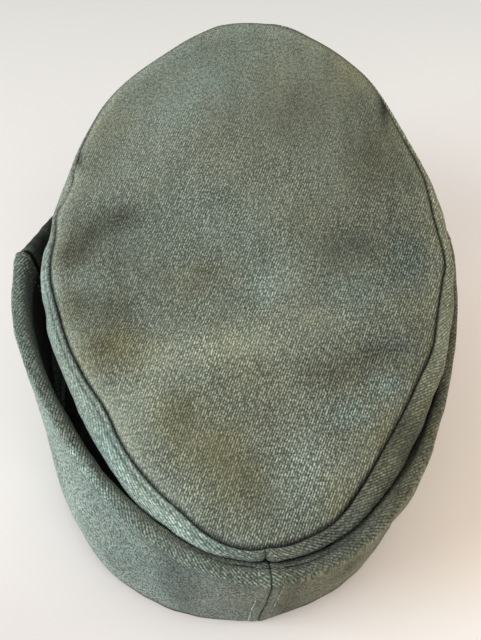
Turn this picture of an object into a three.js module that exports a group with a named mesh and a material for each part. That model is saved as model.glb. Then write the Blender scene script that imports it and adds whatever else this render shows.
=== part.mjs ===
import * as THREE from 'three';

// A peaked field cap of wool twill, lying on the back of its rim and the edge of its peak.
// Millimetres. +Z is up, +Y is the back of the cap and +X the wearer's left.
// Angles run round the cap in degrees: 0 at the back, 90 at the wearer's left, 180 at the front.

// ---------------------------------------------------------------- driving dimensions

const PLY = 2;            // thickness of one ply of the twill
const CLEARANCE = 0.5;    // space kept between two separate pieces
const SEAM_HALF = 0.13;   // half of the slit where two pieces meet end to end, in degrees
const STEP = 6;           // about this many degrees to one facet round the cap

const RIM = {
  middleX: -0.6, middleY: 29.4,       // middle of the oval on the table
  halfWidth: 83.2, halfLength: 107.4,
  frontLift: 17.6,                    // the peak holds the front of the rim up
  settle: 0.6,                        // the back is pressed flat by this much
};

const TOP = {
  halfWidth: 74.5, halfLength: 102.8, // the top seam's oval
  frontWiden: 0.154,                  // it is wider in front than behind
  squareness: 1.7,                    // 2 is an ellipse, less has pointed ends
  shiftX: -5.5, shiftY: -0.2, turn: -1.4,
  dome: 2.5,                          // rise of the middle over the line from back to front
  edgeBevel: 2.2,             // the under side ends this far inside the upper one
};

const WALL = {
  bulgeDrop: 4.8,                     // the swelling is widest this far under the seam
  seamGap: 0.3,                       // half of the slit at the top seam
  baseIn: 3.8, baseUp: 3.8,           // its lower edge, in from the rim and up
};

const FLAP = {
  height: 64.6,                       // from the rim to the rolled upper edge
  frontHeight: 43, dipHeight: 35,     // the front part, and the low point of its scallop
  sideSeam: 102.5, dipAngle: 140,
  scallop: 1.7,                       // 1 drops straight to the low point, more drops sooner
  bow: 1.2, curl: 1.3,                // the outer ply's belly, and how late it leans out
  foot: 6.4, lapFoot: 0.4,            // turned under the crown this far, and where it laps
  foldIn: 2.2, foldUp: 2.4,           // the fold at the rim
  innerShare: 0.55,                   // the inner ply hangs down this share of the height
  lapFrom: 152, lapTo: 170,           // the left front end steps out over the right one
  lapOut: 5.6, leftEnd: 187, rightEnd: 173.5,
  rearSeamAtRim: -0.9,                // the back seam leans: degrees round the rim, at the rim
  rearSeamAtCrest: -3.1,              // and at the crest
  rearSeamReach: 30,                  // and the cloth beside it with it, this far round
  slopeSpare: 3,                      // the inner ply's slope is longer than its reach
  lookDown: 5,                        // the wall keeps clear of the ply this far below it
};

const PEAK = {
  halfAngle: 52, thickness: 3,
  reach: 72, sideReach: 6, rootInset: 8.5,
  roundness: 0.6, fan: 0.45,          // shape of its outline, and how much it spreads
  middleUp: 2.5, touches: 0.55,       // it stands on its edge at this share of its half width
  droop: 1.2,                         // 1 is straight from root to edge, more curves down
};

const BUTTON = { radius: 6, height: 2.6, lowAt: 12, highAt: 32 };

// One row for every 30 degrees round the cap, from the front by way of the right and the back.
// spread: rim beyond its oval. lean: the flap's crest beyond the rim. seam: height of the top
// seam. bulge: swelling of the wall beyond that seam. reach: how far the inner ply slopes in
// under the crest. roll: radius of the crest. slack: empty space between wall and flap.
// low: how far the crest sags.
const STATIONS = [
  //  angle spread lean  seam bulge reach roll slack low
  [-180,  0.3,  4.2, 115.5, 0.4, 0.0, 1.3, 3.0, 0.0],
  [-150, -0.8,  4.3, 114.6, 0.3, 0.0, 1.3, 3.0, 0.0],
  [-120,  1.4,  5.0,  95.4, 2.6, 0.5, 1.3, 3.0, 1.0],
  [ -90, -1.0,  4.7,  79.7, 5.2, 0.5, 1.3, 0.5, 0.0],
  [ -60, -4.6,  5.6,  75.2, 7.6, 1.0, 1.4, 0.5, 1.0],
  [ -30, -1.4,  5.9,  66.1, 8.3, 3.0, 1.5, 0.5, 0.0],
  [   0, -2.0,  7.2,  69.5, 1.6, 7.0, 1.6, 0.3, 0.0],
  [  30,  1.9, -5.0,  65.7, 7.2, 3.5, 1.7, 2.0, 0.0],
  [  60,  1.5, -6.3,  75.9, 7.0, 2.0, 1.8, 4.0, 0.0],
  [  90, -5.1,  8.4,  82.1, 5.2, 0.5, 1.8, 6.0, -0.7],
  [ 120,  0.7,  3.6,  95.0, 1.8, 0.0, 1.5, 4.0, 0.0],
  [ 150, -0.3,  3.6, 109.8, 0.2, 0.0, 1.3, 3.0, 0.0],
];
const COLUMNS = ['angle', 'spread', 'lean', 'seam', 'bulge', 'reach', 'roll', 'slack', 'low'];

// The wall's section from the top seam down to where it goes under the swelling.
// out: share of the bulge. down: share of the bulge's drop. thick: share of the ply.
const WALL_UPPER = [
  { out: 0.03, down: 0.00, thick: 0.25 },
  { out: 0.45, down: 0.03, thick: 0.35 },
  { out: 0.82, down: 0.35, thick: 0.70 },
  { out: 1.00, down: 1.00, thick: 1.00 },
  { out: 0.85, down: 1.55, thick: 1.00 },
  { out: 0.45, down: 2.05, thick: 1.00 },
  { out: 0.05, down: 2.90, thick: 1.00 },
];
// Below that the wall goes to its lower edge, in shares of what is left.
const WALL_LOWER = [0.7, 0.42, 0.18, 0];

// ---------------------------------------------------------------- curves and frames

const radians = THREE.MathUtils.degToRad;
const smooth = (from, to, x) => THREE.MathUtils.smoothstep(x, from, to);
const mix = THREE.MathUtils.lerp;

// A column of the table at any angle, on a smooth closed curve through its rows.
function station(angle, column) {
  const k = COLUMNS.indexOf(column);
  const count = STATIONS.length;
  const place = (((angle + 180) / 30) % count + count) % count;
  const i = Math.floor(place);
  const t = place - i;
  const [a, b, c, d] = [-1, 0, 1, 2].map((n) => STATIONS[(i + n + count) % count][k]);
  return b + 0.5 * t * (c - a + t * (2 * a - 5 * b + 4 * c - d + t * (3 * (b - c) + d - a)));
}

// The rim's outer lower edge at an angle: its place, and the way straight out from it.
function rimAt(angle) {
  const s = Math.sin(radians(angle));
  const c = Math.cos(radians(angle));
  const out = new THREE.Vector3(s / RIM.halfWidth, c / RIM.halfLength, 0).normalize();
  const lift = RIM.frontLift * (1 - c) / 2 - RIM.settle;
  const point = new THREE.Vector3(
    RIM.middleX + RIM.halfWidth * s, RIM.middleY + RIM.halfLength * c, Math.max(0, lift));
  point.addScaledVector(out, station(angle, 'spread'));
  return { point, out };
}

// The angle at which a point lies straight out or in from the rim.
function rimAngle(point) {
  const aside = (point.x - RIM.middleX) / RIM.halfWidth;
  const back = (point.y - RIM.middleY) / RIM.halfLength;
  let angle = Math.atan2(aside, back);
  for (let pass = 0; pass < 4; pass += 1) {
    const { point: foot, out } = rimAt(THREE.MathUtils.radToDeg(angle));
    const along = (point.x - foot.x) * out.y - (point.y - foot.y) * out.x;
    angle += along / Math.hypot(RIM.halfWidth * Math.cos(angle), RIM.halfLength * Math.sin(angle));
  }
  return THREE.MathUtils.radToDeg(angle);
}

// A point beside the rim: so far out from it and up from it.
function besideRim(angle, out, up) {
  const rim = rimAt(angle);
  const point = rim.point.clone().addScaledVector(rim.out, out);
  point.z += up;
  return point;
}

// The top seam at an angle.
function seamAt(angle) {
  const power = 2 / TOP.squareness;
  const s = Math.sin(radians(angle));
  const c = Math.cos(radians(angle));
  const x = TOP.halfWidth * Math.sign(s) * Math.abs(s) ** power * (1 - TOP.frontWiden * c);
  const y = TOP.halfLength * Math.sign(c) * Math.abs(c) ** power;
  const turn = radians(TOP.turn);
  return new THREE.Vector3(
    RIM.middleX + TOP.shiftX + x * Math.cos(turn) - y * Math.sin(turn),
    RIM.middleY + TOP.shiftY + x * Math.sin(turn) + y * Math.cos(turn),
    station(angle, 'seam'));
}

// The way straight out from the top seam, level.
function seamOut(angle) {
  const along = seamAt(angle + 1).sub(seamAt(angle - 1));
  return new THREE.Vector3(-along.y, along.x, 0).normalize();
}

// ---------------------------------------------------------------- the flap's section

function flapHeight(angle) {
  const turn = Math.abs(((angle + 180) % 360 + 360) % 360 - 180);
  const left = THREE.MathUtils.clamp((FLAP.dipAngle - turn) / (FLAP.dipAngle - FLAP.sideSeam), 0, 1);
  const down = 1 - left ** FLAP.scallop;
  const up = smooth(FLAP.dipAngle, 180, turn);
  return mix(mix(FLAP.height, FLAP.dipHeight, down), FLAP.frontHeight, up) - station(angle, 'low');
}

// Middle of the outer ply, out from the rim, at a height above it.
function outerPly(angle, up) {
  const share = up / FLAP.height;
  const bow = 4 * FLAP.bow * share * (1 - share);
  return station(angle, 'lean') * share ** FLAP.curl + bow - PLY / 2;
}

// Middle of the inner ply at a height above the rim.
function innerPly(angle, up) {
  const roll = station(angle, 'roll');
  const reach = station(angle, 'reach');
  const crest = flapHeight(angle) - PLY / 2 - roll;
  const slope = THREE.MathUtils.clamp((crest - up) / (reach + FLAP.slopeSpare), 0, 1);
  return outerPly(angle, up) - 2 * roll - reach * slope;
}

// The space inside the flap ends here, at a height above the rim and a little below it.
function flapInside(angle, up) {
  const height = flapHeight(angle);
  if (up > height + CLEARANCE) return Infinity;
  const crest = height - PLY / 2 - station(angle, 'roll');
  const limits = [up, up - FLAP.lookDown].map((level) => {
    const low = Math.max(0, Math.min(level, crest));
    return mix(outerPly(angle, low), innerPly(angle, low), smooth(4, 14, low));
  });
  return Math.min(...limits) - PLY / 2 - CLEARANCE;
}

// The middle line of the doubled cloth: from the foot under the crown up the outside, over the
// rolled crest and down the inside. out and up are measured from the rim.
function flapSection(angle, foot) {
  const height = flapHeight(angle);
  const roll = station(angle, 'roll');
  const crest = height - PLY / 2 - roll;
  const line = [1, 0.5, 0].map((share) => ({ out: -FLAP.foldIn - foot * share, up: PLY / 2 }));
  line.push({ out: outerPly(angle, FLAP.foldUp), up: FLAP.foldUp });
  for (const share of [0.12, 0.35, 0.6, 0.82]) {
    line.push({ out: outerPly(angle, crest * share), up: crest * share });
  }
  const middle = outerPly(angle, crest) - roll;
  for (const turn of [0, 45, 90, 135, 180].map(radians)) {
    line.push({ out: middle + roll * Math.cos(turn), up: crest + roll * Math.sin(turn) });
  }
  const slope = station(angle, 'reach') + FLAP.slopeSpare;
  const bottom = height * (1 - FLAP.innerShare);
  for (const up of [crest - slope / 2, crest - slope, mix(crest, bottom, 0.7), bottom]) {
    line.push({ out: innerPly(angle, up), up });
  }
  return line;
}

// ---------------------------------------------------------------- solids

// A closed body of cloth through a grid of points. It lies between two offsets along the
// grid's normals, which a column may thin out. The grid's first and last rows only steer the
// normals beside them.
function shell(grid, outer, inner, thickness = () => 1) {
  const rows = grid.length - 2;
  const columns = grid[0].length;
  const positions = [];
  const normalAt = (i, j) => {
    const down = grid[i + 1][j].clone().sub(grid[i - 1][j]);
    const across = grid[i][Math.min(j + 1, columns - 1)].clone().sub(grid[i][Math.max(j - 1, 0)]);
    return down.cross(across).normalize();
  };
  for (const offset of [outer, inner]) {
    for (let i = 1; i <= rows; i += 1) {
      for (let j = 0; j < columns; j += 1) {
        const point = grid[i][j].clone().addScaledVector(normalAt(i, j), offset * thickness(j));
        positions.push(point.x, point.y, Math.max(0, point.z));
      }
    }
  }
  const front = (i, j) => i * columns + j;
  const back = (i, j) => rows * columns + i * columns + j;
  const indices = [];
  const quad = (a, b, c, d) => indices.push(a, b, c, a, c, d);
  for (let i = 0; i < rows - 1; i += 1) {
    for (let j = 0; j < columns - 1; j += 1) {
      quad(front(i, j), front(i + 1, j), front(i + 1, j + 1), front(i, j + 1));
      quad(back(i, j), back(i, j + 1), back(i + 1, j + 1), back(i + 1, j));
    }
  }
  const edge = [];
  for (let j = 0; j < columns - 1; j += 1) edge.push([0, j]);
  for (let i = 0; i < rows - 1; i += 1) edge.push([i, columns - 1]);
  for (let j = columns - 1; j > 0; j -= 1) edge.push([rows - 1, j]);
  for (let i = rows - 1; i > 0; i -= 1) edge.push([i, 0]);
  edge.forEach(([i, j], n) => {
    const [k, l] = edge[(n + 1) % edge.length];
    quad(front(i, j), front(k, l), back(k, l), back(i, j));
  });
  return solid(positions, indices);
}

function solid(positions, indices) {
  const geometry = new THREE.BufferGeometry();
  geometry.setAttribute('position', new THREE.Float32BufferAttribute(positions, 3));
  geometry.setIndex(indices);
  geometry.computeVertexNormals();
  return geometry;
}

// Even angles from one end of a piece to the other, with some more beyond each end.
function sweep(from, to, beyond) {
  const count = Math.max(2, Math.round((to - from) / STEP));
  return Array.from({ length: count + 1 + 2 * beyond }, (_, n) => mix(from, to, (n - beyond) / count));
}

function flapPiece(from, to) {
  const grid = sweep(from, to, 1).map((angle) => {
    const lap = to > 180 ? smooth(FLAP.lapFrom, FLAP.lapTo, angle) : 0;
    const nearBack = 1 - smooth(0, FLAP.rearSeamReach, Math.abs(angle));
    let highest = 0;
    return flapSection(angle, mix(FLAP.foot, FLAP.lapFoot, lap)).map(({ out, up }) => {
      highest = Math.max(highest, up);
      const turn = mix(FLAP.rearSeamAtRim, FLAP.rearSeamAtCrest, highest / FLAP.height) * nearBack;
      return besideRim(angle + turn, out + FLAP.lapOut * lap, up);
    });
  });
  return shell(grid, PLY / 2, -PLY / 2);
}

// Keeps a point of the wall inside the flap.
function tucked(point) {
  const angle = rimAngle(point);
  const rim = rimAt(angle);
  const out = point.clone().sub(rim.point).dot(rim.out);
  const limit = flapInside(angle, point.z - rim.point.z);
  return point.addScaledVector(rim.out, Math.min(0, limit - out));
}

function wallSection(angle) {
  const seam = seamAt(angle);
  const out = seamOut(angle);
  const bulge = station(angle, 'bulge');
  const line = WALL_UPPER.map((row) => {
    const point = seam.clone().addScaledVector(out, WALL.seamGap + bulge * row.out);
    point.z -= WALL.bulgeDrop * row.down;
    return tucked(point);
  });
  const top = line[line.length - 1];
  const below = rimAngle(seam);
  const base = besideRim(below, -WALL.baseIn, WALL.baseUp);
  WALL_LOWER.forEach((share) => {
    const point = base.clone().lerp(top, share);
    point.addScaledVector(rimAt(below).out, -4 * share * (1 - share) * station(below, 'slack'));
    line.push(tucked(point));
  });
  return line;
}

function wallPiece(from, to) {
  const thickness = (j) => (j < WALL_UPPER.length ? WALL_UPPER[j].thick : 1);
  return shell(sweep(from, to, 1).map(wallSection), 0, -PLY, thickness);
}

function topPanel() {
  const angles = sweep(-180, 180, 0).slice(0, -1);
  const rings = [0.22, 0.45, 0.66, 0.83, 0.94, 1];
  const back = seamAt(0);
  const front = seamAt(180);
  const middle = back.clone().lerp(front, 0.5);
  const ridge = (y) => {
    const share = (back.y - y) / (back.y - front.y);
    return mix(back.z, front.z, share) + 4 * TOP.dome * share * (1 - share);
  };
  const positions = [];
  for (const depth of [0, PLY]) {
    positions.push(middle.x, middle.y, ridge(middle.y) - depth);
    for (const ring of rings) {
      for (const angle of angles) {
        const inset = WALL.seamGap + (depth > 0 ? TOP.edgeBevel : 0);
        const seam = seamAt(angle).addScaledVector(seamOut(angle), -inset);
        const x = mix(middle.x, seam.x, ring);
        const y = mix(middle.y, seam.y, ring);
        const fall = (seam.z - ridge(seam.y)) * ring ** 2.4;
        positions.push(x, y, ridge(y) + fall - depth);
      }
    }
  }
  const count = angles.length;
  const layer = 1 + rings.length * count;
  const at = (side, ring, n) => side * layer + 1 + ring * count + (n % count);
  const indices = [];
  for (let n = 0; n < count; n += 1) {
    indices.push(0, at(0, 0, n + 1), at(0, 0, n));
    indices.push(layer, at(1, 0, n), at(1, 0, n + 1));
    for (let ring = 0; ring < rings.length - 1; ring += 1) {
      indices.push(at(0, ring, n), at(0, ring, n + 1), at(0, ring + 1, n + 1));
      indices.push(at(0, ring, n), at(0, ring + 1, n + 1), at(0, ring + 1, n));
      indices.push(at(1, ring, n), at(1, ring + 1, n + 1), at(1, ring, n + 1));
      indices.push(at(1, ring, n), at(1, ring + 1, n), at(1, ring + 1, n + 1));
    }
    const last = rings.length - 1;
    indices.push(at(0, last, n), at(0, last, n + 1), at(1, last, n + 1));
    indices.push(at(0, last, n), at(1, last, n + 1), at(1, last, n));
  }
  return solid(positions, indices);
}

function peakPiece() {
  const grid = [];
  for (const angle of sweep(180 - PEAK.halfAngle, 180 + PEAK.halfAngle, 1)) {
    const across = (angle - 180) / PEAK.halfAngle;
    const root = besideRim(angle, -PEAK.rootInset, -CLEARANCE - PEAK.thickness / 2);
    const ahead = new THREE.Vector3(0, -1, 0).lerp(rimAt(angle).out, PEAK.fan).normalize();
    const round = Math.max(0, 1 - across ** 2) ** PEAK.roundness;
    const reach = mix(PEAK.sideReach, PEAK.reach, round);
    const edge = PEAK.thickness / 2 + PEAK.middleUp * (1 - (across / PEAK.touches) ** 2) ** 2;
    grid.push([0, 0.14, 0.32, 0.5, 0.68, 0.85, 1].map((share) => {
      const point = root.clone().addScaledVector(ahead, reach * share);
      point.z = mix(root.z, Math.min(edge, root.z), share ** PEAK.droop);
      return point;
    }));
  }
  return shell(grid, PEAK.thickness / 2, -PEAK.thickness / 2);
}

function buttonPiece() {
  const { radius, height } = BUTTON;
  const profile = [
    [0, 0], [radius * 0.75, 0], [radius, height * 0.35], [radius * 0.92, height * 0.7],
    [radius * 0.6, height * 0.93], [0, height],
  ];
  const lathe = new THREE.LatheGeometry(profile.map(([x, y]) => new THREE.Vector2(x, y)), 20);
  return lathe;
}

// ---------------------------------------------------------------- the cap

const WOOL = new THREE.MeshStandardMaterial({ color: 0x6d7466, roughness: 0.95, metalness: 0 });
const FLAP_WOOL = new THREE.MeshStandardMaterial({ color: 0x666e62, roughness: 0.95, metalness: 0 });
const PEAK_WOOL = new THREE.MeshStandardMaterial({ color: 0x697164, roughness: 0.95, metalness: 0 });
const BUTTON_GREY = new THREE.MeshStandardMaterial({ color: 0x5b5f57, roughness: 0.6, metalness: 0.5 });

const cap = new THREE.Group();

function addPiece(name, geometry, material) {
  const mesh = new THREE.Mesh(geometry, material);
  mesh.name = name;
  cap.add(mesh);
  return mesh;
}

const sideSeam = FLAP.sideSeam;
addPiece('crown_top', topPanel(), WOOL);
addPiece('crown_side_left', wallPiece(SEAM_HALF, 180 - SEAM_HALF), WOOL);
addPiece('crown_side_right', wallPiece(-180 + SEAM_HALF, -SEAM_HALF), WOOL);
addPiece('flap_rear_left', flapPiece(SEAM_HALF, sideSeam - SEAM_HALF), FLAP_WOOL);
addPiece('flap_rear_right', flapPiece(-sideSeam + SEAM_HALF, -SEAM_HALF), FLAP_WOOL);
addPiece('flap_front_left', flapPiece(sideSeam + SEAM_HALF, FLAP.leftEnd), FLAP_WOOL);
addPiece('flap_front_right', flapPiece(FLAP.rightEnd - 360, -sideSeam - SEAM_HALF), FLAP_WOOL);
addPiece('peak', peakPiece(), PEAK_WOOL);

for (const [name, up] of [['button_upper', BUTTON.highAt], ['button_lower', BUTTON.lowAt]]) {
  const button = addPiece(name, buttonPiece(), BUTTON_GREY);
  const out = outerPly(180, up) + PLY / 2 + FLAP.lapOut + CLEARANCE;
  button.position.copy(besideRim(180, out, up));
  button.quaternion.setFromUnitVectors(new THREE.Vector3(0, 1, 0), rimAt(180).out);
}

export default cap;
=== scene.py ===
"""A peaked field cap of wool twill on a pale table: its visible cloth, thread and buttons.

Sizes are millimetres until a mesh is made, and Blender's metres after that. +Z is up, +Y is
the back of the cap and +X the wearer's left. Angles run round the cap in degrees: 0 at the
back, 90 at the wearer's left, 180 at the front. The sizes that the CAD model has are repeated
here, so every cloth piece lies where its solid does.
"""
import math
from types import SimpleNamespace as Named

import bpy
import numpy as np
from mathutils import Matrix, Vector


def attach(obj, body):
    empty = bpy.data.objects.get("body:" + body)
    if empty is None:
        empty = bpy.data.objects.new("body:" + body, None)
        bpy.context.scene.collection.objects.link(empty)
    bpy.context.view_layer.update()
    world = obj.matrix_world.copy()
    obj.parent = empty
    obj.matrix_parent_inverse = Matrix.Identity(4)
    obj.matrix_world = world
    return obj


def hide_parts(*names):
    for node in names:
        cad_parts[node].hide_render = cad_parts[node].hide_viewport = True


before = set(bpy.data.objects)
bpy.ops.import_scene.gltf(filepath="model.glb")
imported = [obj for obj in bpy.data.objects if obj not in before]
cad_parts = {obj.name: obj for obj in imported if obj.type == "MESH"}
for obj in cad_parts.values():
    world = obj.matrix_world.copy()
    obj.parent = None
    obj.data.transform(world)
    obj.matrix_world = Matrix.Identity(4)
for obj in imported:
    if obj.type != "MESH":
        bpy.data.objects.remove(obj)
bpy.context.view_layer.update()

MM = 0.001

# ---- sizes shared with the CAD

PLY = 2.0                # thickness of one ply of the cloth
CLEARANCE = 0.5          # space between two separate pieces
TABLE_GAP = 0.02         # the cloth's lowest points, above the table
RIM = Named(middle_x=-0.6, middle_y=29.4, half_width=83.2, half_length=107.4, front_lift=17.6, settle=0.6)
TOP = Named(half_width=74.5, half_length=102.8, front_widen=0.154, squareness=1.7,
            shift_x=-5.5, shift_y=-0.2, turn=-1.4, dome=2.5, ply_share=0.9, seam_gap=0.05)
WALL = Named(bulge_drop=4.8, base_in=3.8, base_up=3.8)
FLAP = Named(height=64.6, front_height=43.0, dip_height=35.0, side_seam=102.5, dip_angle=140.0,
             scallop=1.7, bow=1.2, curl=1.3, foot=6.4, lap_foot=0.4, fold_in=2.2, fold_up=2.4,
             inner_share=0.55, lap_from=152.0, lap_to=170.0, lap_out=5.6, left_end=187.0,
             right_end=173.5, rear_seam_reach=30.0, slope_spare=3.0, look_down=5.0)
PEAK = Named(half_angle=52.0, thickness=3.0, reach=72.0, side_reach=6.0, root_inset=8.5,
             roundness=0.6, fan=0.45, middle_up=2.5, touches=0.55, droop=1.2)
BUTTON = Named(radius=6.0, height=2.6, least_ring=0.02, sides=56, steps=3,
               places=dict(button_upper=32, button_lower=12))

# The shape round the cap, with one row for every 30 degrees, as in the CAD. spread: the rim, out
# from its oval. lean: the flap's crest, out from the rim. seam: height of the top seam. bulge: the
# wall, out from the seam. reach, roll: the flap's inner ply, in from the crest, and the crest's
# radius. slack: how far the wall's lower part hangs in. low: the crest's height under the usual.
COLUMNS = ["angle", "spread", "lean", "seam", "bulge", "reach", "roll", "slack", "low"]
STATIONS = np.array([
    [-180, 0.3, 4.2, 115.5, 0.4, 0, 1.3, 3, 0],
    [-150, -0.8, 4.3, 114.6, 0.3, 0, 1.3, 3, 0],
    [-120, 1.4, 5, 95.4, 2.6, 0.5, 1.3, 3, 1],
    [-90, -1, 4.7, 79.7, 5.2, 0.5, 1.3, 0.5, 0],
    [-60, -4.6, 5.6, 75.2, 7.6, 1, 1.4, 0.5, 1],
    [-30, -1.4, 5.9, 66.1, 8.3, 3, 1.5, 0.5, 0],
    [0, -2, 7.2, 69.5, 1.6, 7, 1.6, 0.3, 0],
    [30, 1.9, -5, 65.7, 7.2, 3.5, 1.7, 2, 0],
    [60, 1.5, -6.3, 75.9, 7, 2, 1.8, 4, 0],
    [90, -5.1, 8.4, 82.1, 5.2, 0.5, 1.8, 6, -0.7],
    [120, 0.7, 3.6, 95, 1.8, 0, 1.5, 4, 0],
    [150, -0.3, 3.6, 109.8, 0.2, 0, 1.3, 3, 0],
])
# The wall's section: shares of its bulge and of the bulge's drop, and the share of the ply
# that is left for its thickness.
WALL_UPPER = np.array([
    [0.03, 0, 0.25], [0.45, 0.03, 0.35], [0.82, 0.35, 0.7], [1, 1, 1],
    [0.85, 1.55, 1], [0.45, 2.05, 1], [0.05, 2.9, 1],
])
WALL_LOWER = [0.7, 0.42, 0.18, 0.0]

# ---- curves


def smooth(start, end, x):
    """0 before start, 1 after end and a smooth step between them."""
    t = np.clip((x - start) / (end - start), 0, 1)
    return t * t * (3 - 2 * t)


def mix(a, b, share):
    return a + (b - a) * share


def hump(x, width):
    """A smooth hump, 1 at x = 0 and almost gone at twice the width."""
    return np.exp(-(x / width) ** 2)


def bands(table, x):
    """Sum of the humps in a table of middle, half width and amount."""
    return sum(amount * hump(x - middle, wide) for middle, wide, amount in table)


def unit(vectors):
    return vectors / np.maximum(np.linalg.norm(vectors, axis=-1, keepdims=True), 1e-9)


def join(*columns):
    return np.stack(np.broadcast_arrays(*columns), axis=-1)


def through(a, b, c, d, t):
    """The smooth curve from b to c, with a before and d after them."""
    return b + 0.5 * t * (c - a + t * (2 * a - 5 * b + 4 * c - d + t * (3 * (b - c) + d - a)))


def station(angle, column):
    """A column of STATIONS at an angle, along a smooth curve through its rows."""
    values = STATIONS[:, COLUMNS.index(column)]
    count = len(values)
    place = np.mod((np.asarray(angle, dtype=float) + 180) / 30, count)
    i = np.floor(place).astype(int)
    a, b, c, d = (values[(i + step) % count] for step in (-1, 0, 1, 2))
    return through(a, b, c, d, place - i)


def rim_at(angle):
    """The rim's outer lower edge: its place, and the way straight out from it."""
    s = np.sin(np.radians(angle))
    c = np.cos(np.radians(angle))
    out = unit(join(s / RIM.half_width, c / RIM.half_length, 0 * s))
    lift = np.maximum(0, RIM.front_lift * (1 - c) / 2 - RIM.settle)
    point = join(RIM.middle_x + RIM.half_width * s, RIM.middle_y + RIM.half_length * c, lift)
    return point + out * station(angle, "spread")[..., None], out


def rim_angle(point):
    """The angle at which a point lies straight out or in from the rim."""
    aside = (point[..., 0] - RIM.middle_x) / RIM.half_width
    back = (point[..., 1] - RIM.middle_y) / RIM.half_length
    angle = np.arctan2(aside, back)
    for _ in range(4):
        foot, out = rim_at(np.degrees(angle))
        gap = point - foot
        along = gap[..., 0] * out[..., 1] - gap[..., 1] * out[..., 0]
        angle = angle + along / np.hypot(
            RIM.half_width * np.cos(angle), RIM.half_length * np.sin(angle))
    return np.degrees(angle)


def beside_rim(angle, out, up):
    """The point so far out from the rim and up from it."""
    point, away = rim_at(angle)
    return point + away * np.asarray(out)[..., None] + join(0, 0, np.asarray(up) + 0 * point[..., 0])


def seam_at(angle, bends=1.0):
    """The seam round the top panel, with its small bends or without."""
    power = 2 / TOP.squareness
    s = np.sin(np.radians(angle))
    c = np.cos(np.radians(angle))
    x = TOP.half_width * np.sign(s) * np.abs(s) ** power * (1 - TOP.front_widen * c)
    y = TOP.half_length * np.sign(c) * np.abs(c) ** power
    turn = math.radians(TOP.turn)
    bend = 0 * s
    for place, wide, far in SEAM_BENDS:
        bend += bends * far * hump(np.mod(angle - place + 180, 360) - 180, wide)
    away = unit(join(s / TOP.half_width, c / TOP.half_length))
    return join(
        RIM.middle_x + TOP.shift_x + x * math.cos(turn) - y * math.sin(turn) + away[..., 0] * bend,
        RIM.middle_y + TOP.shift_y + x * math.sin(turn) + y * math.cos(turn) + away[..., 1] * bend,
        station(angle, "seam"))


# Small bends of the top seam: angle, half width in degrees and distance out, in mm.
SEAM_BENDS = [
    [-106, 6, -1.2], [-93, 5, 0.7], [-69, 6, 1.4], [-48, 8, -0.6], [-27, 8, 1.4], [-2, 6, -1.1],
    [15, 7, 0.5], [30, 5, -0.8], [45, 6, 0.4], [57, 5, -1.3], [74, 8, 0.6], [90, 8, 0.5],
    [103.5, 3.5, -1], [109, 3, 0.8], [115, 6, -2.3], [137, 8, 1.3], [155, 8, -1.2], [174, 6, 0.6],
    [-166, 8, 0.4], [-156, 6, -0.3], [-139, 6, 1.2], [-126, 5, -0.5],
]


def seam_out(angle):
    """The level way out from the top seam."""
    along = seam_at(angle + 1) - seam_at(angle - 1)
    return unit(join(-along[..., 1], along[..., 0], 0 * along[..., 0]))


def flap_height(angle):
    """Height of the flap's crest above the rim."""
    turn = np.abs(np.mod(angle + 180, 360) - 180)
    left = np.clip((FLAP.dip_angle - turn) / (FLAP.dip_angle - FLAP.side_seam), 0, 1)
    side = mix(FLAP.height, FLAP.dip_height, 1 - left ** FLAP.scallop)
    up = smooth(FLAP.dip_angle, 180, turn)
    return mix(side, FLAP.front_height, up) - station(angle, "low")


def outer_ply(angle, up):
    """Middle of the outer ply, out from the rim, at a height above it."""
    share = np.maximum(up, 0) / FLAP.height
    bow = 4 * FLAP.bow * share * (1 - share)
    return station(angle, "lean") * share ** FLAP.curl + bow - PLY / 2


def inner_ply(angle, up):
    """Middle of the inner ply, out from the rim, at a height above it."""
    roll = station(angle, "roll")
    reach = station(angle, "reach")
    crest = flap_height(angle) - PLY / 2 - roll
    slope = np.clip((crest - up) / (reach + FLAP.slope_spare), 0, 1)
    soft = slope - np.sin(2 * np.pi * slope) * slope / 9
    return outer_ply(angle, up) - 2 * roll - reach * soft


def flap_inside(angle, up):
    """How far out the space inside the flap goes."""
    height = flap_height(angle)
    crest = height - PLY / 2 - station(angle, "roll")
    limits = []
    for level in (up, up - FLAP.look_down):
        low = np.clip(level, 0, crest)
        ply = mix(outer_ply(angle, low), inner_ply(angle, low), smooth(4, 14, low))
        limits.append(ply)
    limit = np.minimum(*limits) - PLY / 2 - CLEARANCE
    return np.where(up > height + CLEARANCE, 1e3, limit)


def spread_out(length, fine, coarse, reach):
    """Places from 0 to length: fine steps near both ends, growing to coarse ones."""
    places = [0.0]
    while places[-1] < length / 2:
        share = min(1, places[-1] / reach)
        places.append(places[-1] + mix(fine, coarse, share))
    half = np.array(places) * (length / 2) / places[-1]
    return np.concatenate([half, length - half[-2::-1]])


def lumps(u, v, size, seed):
    """A seeded smooth unevenness, mostly between -1 and 1, with lumps about size across."""
    random = np.random.default_rng(seed)
    total = 0
    waves = 22
    for _ in range(waves):
        turn = random.uniform(0, 2 * np.pi)
        pace = 2 * np.pi / size * random.uniform(0.35, 1.0)
        start = random.uniform(0, 2 * np.pi)
        total += np.sin(pace * (u * np.cos(turn) + v * np.sin(turn)) + start)
    return total / math.sqrt(waves)


# ---- folds and dents

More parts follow.
